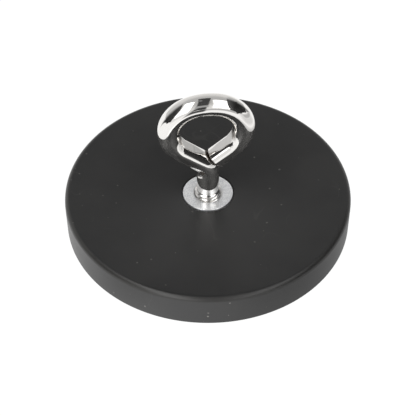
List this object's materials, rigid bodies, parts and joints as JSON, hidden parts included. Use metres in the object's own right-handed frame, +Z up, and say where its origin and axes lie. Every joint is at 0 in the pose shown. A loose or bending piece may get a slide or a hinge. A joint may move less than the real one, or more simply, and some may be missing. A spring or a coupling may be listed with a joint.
{
  "type": "pot magnet",
  "caption": "Flat round rubber-coated holding magnet with a threaded steel bush at its centre and a bent-wire eye bolt to hang things from.",
  "frame": {"origin": "centre of the flat magnetic face underneath", "axes": "+Z up the bolt's axis, away from the magnetic face; +X across the width of the eye, on the side of its free end; +Y through the eye's hole"},
  "size_m": [0.066, 0.066, 0.0389],
  "materials": {
    "jacket_rubber": "black moulded rubber, fine matt skin with a soft sheen",
    "zinc_steel": "turned face, zinc plated",
    "bright_plate": "bright nickel plate, mirror smooth",
    "plate_steel": "plain stamped steel",
    "magnet_nickel": "satin nickel plate"
  },
  "bodies": {
    "root": {"rubber_jacket": "jacket_rubber", "threaded_bush": "zinc_steel", "eye_bolt": "bright_plate", "back_plate": "plate_steel", "outer_magnet_01": "magnet_nickel", "outer_magnet_02": "magnet_nickel", "outer_magnet_03": "magnet_nickel", "outer_magnet_04": "magnet_nickel", "outer_magnet_05": "magnet_nickel", "outer_magnet_06": "magnet_nickel", "outer_magnet_07": "magnet_nickel", "outer_magnet_08": "magnet_nickel", "outer_magnet_09": "magnet_nickel", "outer_magnet_10": "magnet_nickel", "outer_magnet_11": "magnet_nickel", "outer_magnet_12": "magnet_nickel", "inner_magnet_01": "magnet_nickel", "inner_magnet_02": "magnet_nickel", "inner_magnet_03": "magnet_nickel", "inner_magnet_04": "magnet_nickel", "inner_magnet_05": "magnet_nickel", "inner_magnet_06": "magnet_nickel"}
  },
  "joints": []
}
